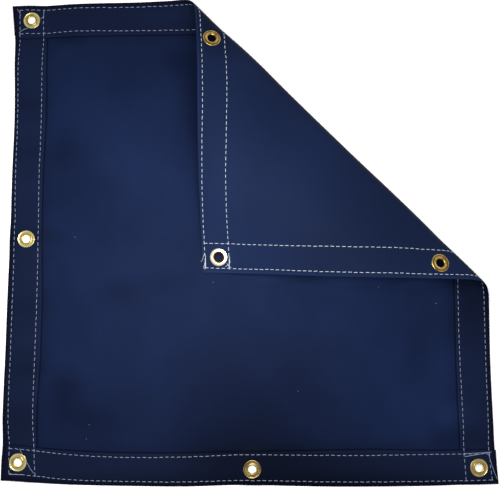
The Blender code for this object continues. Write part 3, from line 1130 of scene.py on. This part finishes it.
@dataclass
class EyeletSet:
    """The brass eyelets: a flanged barrel rolled over a washer, at each spot of the pattern."""

    pattern: Pattern
    bore: float = 6.35 * MM
    barrel: float = 6.95 * MM
    flange: float = 14.0 * MM
    depth: float = 1.9 * MM
    washer: float = 13.7 * MM
    lip: float = 9.3 * MM
    lip_height: float = 4.3 * MM
    cloth: float = 2.2 * MM
    gap: float = 0.3 * MM
    plate: float = 0.4 * MM
    around: int = 72
    roundings: int = 3
    cut: float = 0.2
    # Lighter and darker copies of one brass for single rings: painted light and shade.
    palest_copy: tuple[Colour, ...] = ((1.0, 0.94, 0.74, 1.0), (0.92, 0.84, 0.58, 1.0))
    palest_shade_line_colour: Colour = (0.14, 0.09, 0.025, 1.0)
    light: tuple[Colour, ...] = ((1.0, 0.88, 0.37, 1.0), (0.78, 0.64, 0.22, 1.0))
    dim_copy: tuple[Colour, ...] = ((0.80, 0.64, 0.24, 1.0), (0.54, 0.41, 0.13, 1.0))
    dimmest_copy: tuple[Colour, ...] = ((0.46, 0.34, 0.12, 1.0), (0.22, 0.155, 0.045, 1.0))

    @staticmethod
    def section(*points: tuple[float, ...]) -> Array:
        """An outline of points given as a radius and a height, each with an offset in mm after it."""
        return np.array([(out + more * MM, up + rise * MM) for out, more, up, rise in points])

    def eyelet_outline(self) -> Array:
        """The section of flange, barrel and rolled lip, as radius and height, outer side first."""
        lip, barrel, flange, bore = self.lip, self.barrel, self.flange, self.bore
        low, seat, top = -self.depth, -self.gap, self.lip_height
        under = self.cloth + 2 * self.gap + self.plate
        return self.section(
            (lip, -0.1, top, -0.75), (lip, -0.3, under, 0.02), (lip, -1.1, under, 0),
            (barrel, 0, under, 0), (barrel, 0, seat, 0), (flange, -0.6, seat, 0),
            (flange, -0.1, seat, -0.05), (flange, 0, seat, -0.45), (flange, -0.35, seat, -0.75),
            (flange, -1.6, low, 0.42), (flange, -3.2, low, 0.05), (flange, -4.2, low, 0),
            (bore, 2.3, low, 0.25), (bore, 0.8, low, 1.0), (bore, 0, 0, 0.3),
            (bore, 0, under, -0.2), (bore, 0.18, top, -0.7), (bore, 0.75, top, -0.08),
            (bore, 1.5, top, 0), (bore, 2.3, top, -0.12),
        )

    def washer_outline(self) -> Array:
        """The washer's section, as radius and height: a dished plate with a rounded, raised rim."""
        rim, lip, bore = self.washer, self.lip, self.barrel + self.gap
        low = self.cloth + self.gap
        high = low + self.plate
        return self.section(
            (rim, 0, high, 0.30), (rim, -0.02, low, 0.1), (rim, -0.5, low, 0), (bore, 0, low, 0),
            (bore, 0, high, -0.02), (lip, -0.4, high, -0.02), (rim, -2.3, high, 0),
            (rim, -1.35, high, 0.12), (rim, -0.95, high, 0.46), (rim, -0.45, high, 0.58),
        )

    def rounded(self, outline: Array) -> Array:
        """The outline with its corners cut off again and again, by a share of each edge."""
        for _ in range(self.roundings):
            following = np.roll(outline, -1, axis=0)
            step = self.cut * (following - outline)
            outline = np.stack([outline + step, following - step], axis=1).reshape(-1, 2)
        return outline

    def turned(self, outline: Array, spot: EyeletSpot) -> MeshParts:
        """Turns a section about an eyelet's axis.

        A point at radius r and height h goes to the seat's centre, plus r times the turning direction
        in the seat's plane, plus h times the seat's normal.

        Args:
            outline: The closed section, as radius and height.
            spot: The eyelet's place.

        Returns:
            The ring's points and faces.
        """
        section = self.rounded(outline)
        middle, along_u, along_v = self.pattern.seat(spot)
        normal = unit(np.cross(along_u, -along_v))
        beside = np.cross(normal, along_u)
        angle = spokes(self.around)[:, None, None]
        spoke = np.cos(angle) * along_u + np.sin(angle) * beside
        points = middle + section[None, :, :1] * spoke + section[None, :, 1:] * normal
        quads = ring_quads(self.around, len(section), closed=True)
        turn = np.broadcast_to(np.arange(self.around)[:, None] / self.around, points.shape[:2])
        walk = np.broadcast_to(np.arange(len(section))[None, :] / len(section), points.shape[:2])
        parts = MeshParts()
        parts.add(points, np.stack([turn, walk], axis=-1), quads)
        return parts

    def build(self) -> list[Piece]:
        """Makes every eyelet and washer in its solid's place, in copies of one brass: painted light
        and shade.
        """
        # Shade lines round the rings, in their recesses and on their slopes: painted shade.
        edges = (ShadeLine(0.52, 0.05, 0.6), ShadeLine(0.87, 0.13, 0.65), ShadeLine(0.01, 0.05, 0.7))
        hollow_shade_lines = (ShadeLine(0.60, 0.10, 0.95), edges[-1])
        throat_shade_line = (ShadeLine(0.60, 0.11, 2.0),)
        # One brass in lighter and darker copies, each set per ring: painted light and shade.
        golden = PressedBrass().material()
        palest_copy = PressedBrass("palest_brass_copy", *self.palest_copy, self.palest_shade_line_colour, throat_shade_line).material()
        light = PressedBrass("pale_brass_copy", *self.light, grooves=edges).material()
        dim_copy = PressedBrass("dim_brass_copy", *self.dim_copy, grooves=edges).material()
        dimmest_copy = PressedBrass("dimmest_brass_copy", *self.dimmest_copy, grooves=hollow_shade_lines).material()
        finishes = {
            "top_left": (dim_copy, light),
            "left_middle": (dim_copy, light),
            "bottom_left": (dim_copy, light),
            "bottom_middle": (dimmest_copy, dimmest_copy),
            "bottom_right": (dim_copy, dim_copy),
            "corner": (palest_copy, palest_copy),
        }
        made = []
        kinds = (("eyelet", self.eyelet_outline()), ("washer", self.washer_outline()))
        for spot in self.pattern.eyelets:
            for (kind, outline), brass in zip(kinds, finishes.get(spot.name, (golden, golden))):
                ring = self.turned(outline, spot).build(f"brass_{kind}_{spot.name}", brass)
                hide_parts(f"{kind}_{spot.name}")
                made.append(ring)
        return made


class Wire:
    """A shader socket that can be reckoned with: each operator adds its Math node."""

    def __init__(self, tree: "Finish", socket: bpy.types.NodeSocket) -> None:
        """Holds a socket and the finish whose nodes it belongs to."""
        self.tree = tree
        self.socket = socket

    def _math(self, operation: str, *values: "Wire | float") -> "Wire":
        """A Math node of this operation."""
        return self.tree.node("ShaderNodeMath", {"operation": operation}, dict(enumerate(values)))

    def __add__(self, other: "Wire | float") -> "Wire":
        """Sum."""
        return self._math("ADD", self, other)

    def __mul__(self, other: "Wire | float") -> "Wire":
        """Product."""
        return self._math("MULTIPLY", self, other)

    def __sub__(self, other: "Wire | float") -> "Wire":
        """Difference."""
        return self._math("SUBTRACT", self, other)

    def __rsub__(self, other: float) -> "Wire":
        """Difference, from the right."""
        return self._math("SUBTRACT", other, self)

    __radd__ = __add__
    __rmul__ = __mul__

    def sine(self) -> "Wire":
        """Sine."""
        return self._math("SINE", self)

    def size(self) -> "Wire":
        """The value without its sign."""
        return self._math("ABSOLUTE", self)

    def over(self, other: "Wire | float") -> "Wire":
        """1 where the value is greater, else 0."""
        return self._math("GREATER_THAN", self, other)

    def stretch(self, low: float, high: float) -> "Wire":
        """A smooth step from 0 at low to 1 at high."""
        return self.tree.node(
            "ShaderNodeMapRange",
            {"interpolation_type": "SMOOTHSTEP"},
            {"Value": self, "From Min": low, "From Max": high},
        )


class Finish:
    """A node material that is written as expressions."""

    def __init__(self, name: str, **settings: float | Colour) -> None:
        """Makes a Principled material.

        Args:
            name: The material's name.
            **settings: Values of the shader's own sockets, with _ for a space.
        """
        self.material = bpy.data.materials.new(name)
        self.material.use_nodes = True
        self.nodes = self.material.node_tree.nodes
        self.links = self.material.node_tree.links
        self.shader = self.nodes["Principled BSDF"]
        for key, value in settings.items():
            self.shader.inputs[key.replace("_", " ")].default_value = value

    def node(
        self,
        kind: str,
        settings: dict[str, object] | None = None,
        inputs: dict[str | int, object] | None = None,
        output: str | int = 0,
    ) -> Wire:
        """Adds any node.

        Args:
            kind: The node's type.
            settings: Its properties, which are set first.
            inputs: Values or wires of its sockets, by name or number.
            output: The output that is wanted.

        Returns:
            That output's wire.
        """
        made = self.nodes.new(kind)
        for key, value in (settings or {}).items():
            setattr(made, key, value)
        for key, value in (inputs or {}).items():
            if isinstance(value, Wire):
                self.links.new(value.socket, made.inputs[key])
            else:
                made.inputs[key].default_value = value
        return Wire(self, made.outputs[output])

    def place(self) -> Wire:
        """Object coordinates."""
        return self.node("ShaderNodeTexCoord", output="Object")

    def flat(self) -> tuple[Wire, Wire]:
        """The piece's own flat coordinates, as two values."""
        coords = self.node("ShaderNodeUVMap", {"uv_map": "flat"})
        split = self.nodes.new("ShaderNodeSeparateXYZ")
        self.links.new(coords.socket, split.inputs[0])
        return Wire(self, split.outputs[0]), Wire(self, split.outputs[1])

    def mark(self, name: str) -> Wire:
        """A value that the mesh carries at each point."""
        return self.node("ShaderNodeAttribute", {"attribute_name": name}, output="Fac")

    def noise(self, grain: Grain) -> Wire:
        """Cloudy noise over the object, between about 0.3 and 0.7."""
        inputs = {"Scale": grain.scale, "Detail": grain.detail, "Roughness": grain.roughness}
        return self.node("ShaderNodeTexNoise", None, {"Vector": self.place(), **inputs})

    def scaled(self, colour: Wire, share: Wire) -> Wire:
        """A colour made lighter or darker by a factor."""
        settings = {"operation": "SCALE"}
        return self.node("ShaderNodeVectorMath", settings, {0: colour, "Scale": share})

    def mix(self, share: Wire, first: object, second: object) -> Wire:
        """A colour between two."""
        settings = {"data_type": "RGBA", "clamp_factor": True}
        return self.node("ShaderNodeMix", settings, {0: share, 6: first, 7: second}, output=2)

    def bump(self, height: Wire, relief: Relief, under: Wire | None = None) -> Wire:
        """A bump from a height between 0 and 1, over another bump where there is one."""
        inputs = {"Height": height, "Distance": relief.depth, "Strength": relief.strength}
        if under is not None:
            inputs["Normal"] = under
        return self.node("ShaderNodeBump", None, inputs)

    def feed(self, socket: str, wire: Wire) -> None:
        """Joins a wire to one of the shader's sockets."""
        self.links.new(wire.socket, self.shader.inputs[socket])


@dataclass(frozen=True)
class CoatedCloth:
    """Navy coated cloth: a soft plain weave under a thin matt coat, cloudy, duller on the hems, with
    painted light and shade.
    """

    deep: Colour = (0.0037, 0.0076, 0.0263, 1.0)
    light: Colour = (0.0043, 0.0089, 0.0307, 1.0)
    layers: tuple[Layer, ...] = (
        Layer("hem", 0.90, (0.0036, 0.0064, 0.0196, 1.0)),
        Layer("reverse", 0.80, (0.0048, 0.0091, 0.0284, 1.0)),
        # Painted shade along the cloth's edge.
        Layer("rim", 0.85, (0.0012, 0.0016, 0.0052, 1.0)),
        # Painted shade along the fold's outermost line.
        Layer("bend", 0.95, (0.0012, 0.0016, 0.0052, 1.0)),
        # Painted shadow in the creases beside the hems.
        Layer("crease", 0.85, (0.0012, 0.0016, 0.0052, 1.0)),
    )
    thread: float = 0.62 * MM
    clouds: Grain = Grain(9.0, 3.0, 0.55)
    cloud_edges: tuple[float, float] = (0.36, 0.66)
    slubs: Grain = Grain(260.0, 2.0, 0.6)
    specks: Grain = Grain(900.0, 2.0, 0.6)
    dents: Grain = Grain(38.0)
    dented: Relief = Relief(0.9 * MM, 0.20)
    grained: Relief = Relief(0.05 * MM, 0.25)
    woven: Relief = Relief(0.05 * MM, 0.35)
    ground: float = 0.76
    # How much darker the weave's gaps are: painted shade.
    weave_gap_shade_share: float = 0.22
    slub_share: float = 0.16
    speck_share: float = 0.04
    roughness: float = 0.50
    uneven: float = 0.10

    def material(self) -> Material:
        """Builds the finish: the layers over the clouds, scaled by painted light and shade, the
        weave, slubs and specks.
        """
        finish = Finish("navy_coated_cloth", Specular_IOR_Level=0.02)
        u, v = finish.flat()
        clouds = finish.noise(self.clouds)
        specks = finish.noise(self.specks)
        colour = finish.mix(clouds.stretch(*self.cloud_edges), self.deep, self.light)
        for layer in self.layers:
            colour = finish.mix(finish.mark(layer.mark) * layer.share, colour, layer.colour)
        turn = math.pi / self.thread
        warp, weft = (u * turn).sine(), (v * turn).sine()
        over = (warp * weft).over(0.0)
        weave = over * warp.size() + (1.0 - over) * weft.size()
        slubs = finish.noise(self.slubs)
        # The darker weave gaps are painted shade; the slubs are the cloth's own tone.
        weave_shade_and_slubs = self.ground + self.weave_gap_shade_share * weave + self.slub_share * slubs
        # The shade mark scales the colour with painted light and shade.
        shade = finish.mark("shade") * (weave_shade_and_slubs + self.speck_share * specks)
        finish.feed("Base Color", finish.scaled(colour, shade))
        finish.feed("Roughness", self.roughness + self.uneven * clouds + self.uneven * specks)
        low = finish.bump(finish.noise(self.dents), self.dented)
        grain = finish.bump(specks, self.grained, low)
        finish.feed("Normal", finish.bump(weave, self.woven, grain))
        return finish.material


@dataclass(frozen=True)
class TwistedThread:
    """Pale twisted sewing thread: a brighter needle thread and a duller bobbin thread."""

    name: str = "needle_thread"
    pale: Colour = (0.44, 0.475, 0.495, 1.0)
    shade: Colour = (0.24, 0.27, 0.30, 1.0)
    lay: float = 1.1 * MM
    fuzz: Grain = Grain(700.0)
    ply_share: float = 0.7
    fuzz_share: float = 0.4
    roughness: float = 0.55
    uneven: float = 0.2
    plied: Relief = Relief(0.12 * MM, 0.5)

    def material(self) -> Material:
        """Builds the finish: a sine that winds round the thread gives its ply lines."""
        finish = Finish(self.name, Specular_IOR_Level=0.2)
        along, turn = finish.flat()
        plies = (along * (2 * math.pi / self.lay) + turn * (2 * math.pi)).sine() * 0.5 + 0.5
        fuzz = finish.noise(self.fuzz)
        tone = plies * self.ply_share + fuzz * self.fuzz_share
        finish.feed("Base Color", finish.mix(tone, self.shade, self.pale))
        finish.feed("Roughness", self.roughness + self.uneven * fuzz)
        finish.feed("Normal", finish.bump(plies, self.plied))
        return finish.material


@dataclass(frozen=True)
class PressedBrass:
    """Bright pressed brass, slightly tarnished, finely scratched, with painted shade lines round its
    grooves and slopes.
    """

    name: str = "golden_brass"
    bright: Colour = (0.76, 0.52, 0.15, 1.0)
    tarnish: Colour = (0.30, 0.18, 0.035, 1.0)
    dark: Colour = (0.10, 0.06, 0.02, 1.0)
    grooves: tuple[ShadeLine, ...] = (ShadeLine(0.45, 0.06, 1.0), ShadeLine(0.70, 0.12, 1.2))
    clouds: Grain = Grain(90.0)
    cloud_edges: tuple[float, float] = (0.38, 0.68)
    scratches: Grain = Grain(2600.0)
    scratched: Relief = Relief(0.01 * MM, 0.05)
    roughness: float = 0.20
    uneven: float = 0.12

    def material(self) -> Material:
        """Builds the finish: cloudy tarnish and each painted shade line, strongest at its place."""
        finish = Finish(self.name, Metallic=1.0)
        clouds = finish.noise(self.clouds)
        scratches = finish.noise(self.scratches)
        _, walk = finish.flat()
        colour = finish.mix(clouds.stretch(*self.cloud_edges), self.bright, self.tarnish)
        # Each shade line darkens the ring where it lies: painted shade.
        for groove in self.grooves:
            near = 1.0 - (walk - groove.place).size().stretch(0.0, groove.reach)
            colour = finish.mix(near * groove.share, colour, self.dark)
        finish.feed("Base Color", colour)
        finish.feed("Roughness", self.roughness + self.uneven * clouds)
        finish.feed("Normal", finish.bump(scratches, self.scratched))
        return finish.material


@dataclass
class Studio:
    """The pale floor, the soft lights and the camera."""

    floor_size: float = 12.0
    floor_drop: float = 0.5 * MM
    look: Point = (5.08 * MM, -13.83 * MM, 0.0)
    distance: float = 1223.33 * MM
    turns: Point = (0.107547, 0.012089, -0.001705)
    focal_pixels: float = 765.58
    picture_width: float = 500.0
    sensor: float = 36.0
    floor_tone: Colour = (0.92, 0.92, 0.92, 1.0)
    floor_roughness: float = 0.9
    floor_shine: float = 0.1
    surround: float = 0.60
    surround_tone: Colour = (1.0, 1.0, 1.0, 1.0)
    boxes: tuple[Softbox, ...] = (
        Softbox("key", (-0.08, -0.05, 0.54), (-0.08, -0.05, 0.0), 0.42, 6.3, mirrored=True),
        Softbox("panel", (0.9, 0.5, 2.0), (0.0, 0.0, 0.0), 1.5, 30.0, mirrored=False),
    )

    def floor(self) -> None:
        """A plain pale floor a hair under the cloth."""
        half = self.floor_size / 2
        mesh = bpy.data.meshes.new("floor")
        corners = [(-half, -half), (half, -half), (half, half), (-half, half)]
        mesh.from_pydata([(x, y, -self.floor_drop) for x, y in corners], [], [(0, 1, 2, 3)])
        matt = {"Roughness": self.floor_roughness, "Specular_IOR_Level": self.floor_shine}
        mesh.materials.append(Finish("pale_floor", Base_Color=self.floor_tone, **matt).material)
        made = placed("floor", mesh)

    def lamp(self, box: Softbox) -> None:
        """Hangs a softbox, which the camera itself doesn't see."""
        light = bpy.data.lights.new(box.name, "AREA")
        light.shape = "SQUARE"
        light.size = box.size
        light.energy = box.power
        made = placed(box.name, light)
        made.location = box.place
        direction = Vector(box.aim) - Vector(box.place)
        made.rotation_euler = direction.to_track_quat("-Z", "Y").to_euler()
        made.visible_camera = False
        made.visible_glossy = box.mirrored

    def lights(self) -> None:
        """A soft box over the tarp, a wide dim panel above it and an even pale surround."""
        for box in self.boxes:
            self.lamp(box)
        world = bpy.data.worlds.new("surround")
        world.use_nodes = True
        background = world.node_tree.nodes["Background"]
        background.inputs["Color"].default_value = self.surround_tone
        background.inputs["Strength"].default_value = self.surround
        bpy.context.scene.world = world
        bpy.context.scene.view_settings.view_transform = "Standard"

    def camera(self, cloth: Pattern) -> None:
        """The camera over the tarp, set a little towards its lower edge."""
        about = {axis: Matrix.Rotation(angle, 3, axis) for axis, angle in zip("XYZ", self.turns)}
        turn = about["Z"] @ about["Y"] @ about["X"]
        look = Vector(self.look) - Vector((*cloth.middle, 0.0))
        eye = look + turn @ Vector((0.0, 0.0, self.distance))
        data = bpy.data.cameras.new("camera")
        data.sensor_width = self.sensor
        data.lens = self.focal_pixels * self.sensor / self.picture_width
        made = placed("camera", data)
        made.matrix_world = Matrix.Translation(eye) @ turn.to_4x4()
        bpy.context.scene.camera = made


def main() -> None:
    """Builds every piece of the tarp, dresses it and lights it."""
    logging.basicConfig(level=logging.INFO, format="%(message)s")
    pattern = Pattern()
    sheet = ClothSheet(pattern, SewingLines())
    needle = TwistedThread().material()
    bobbin_tones = (0.23, 0.265, 0.36, 1.0), (0.11, 0.13, 0.20, 1.0)
    bobbin = TwistedThread("bobbin_thread", *bobbin_tones).material()
    studio = Studio()
    studio.camera(pattern)

    cloth = sheet.build(CoatedCloth().material())
    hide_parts("panel", "hem_top", "hem_bottom", "hem_left", "hem_right")

    stitching = Stitching(sheet)
    loose = LooseThreads(sheet)
    sewn = [stitching.build(Face.HEMMED, bobbin), stitching.build(Face.REVERSE, needle)]
    sewn += [loose.build(Face.HEMMED, bobbin), loose.build(Face.REVERSE, needle)]
    rings = EyeletSet(pattern).build()
    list(rings)

    studio.floor()
    studio.lights()


if __name__ == "__main__":
    main()
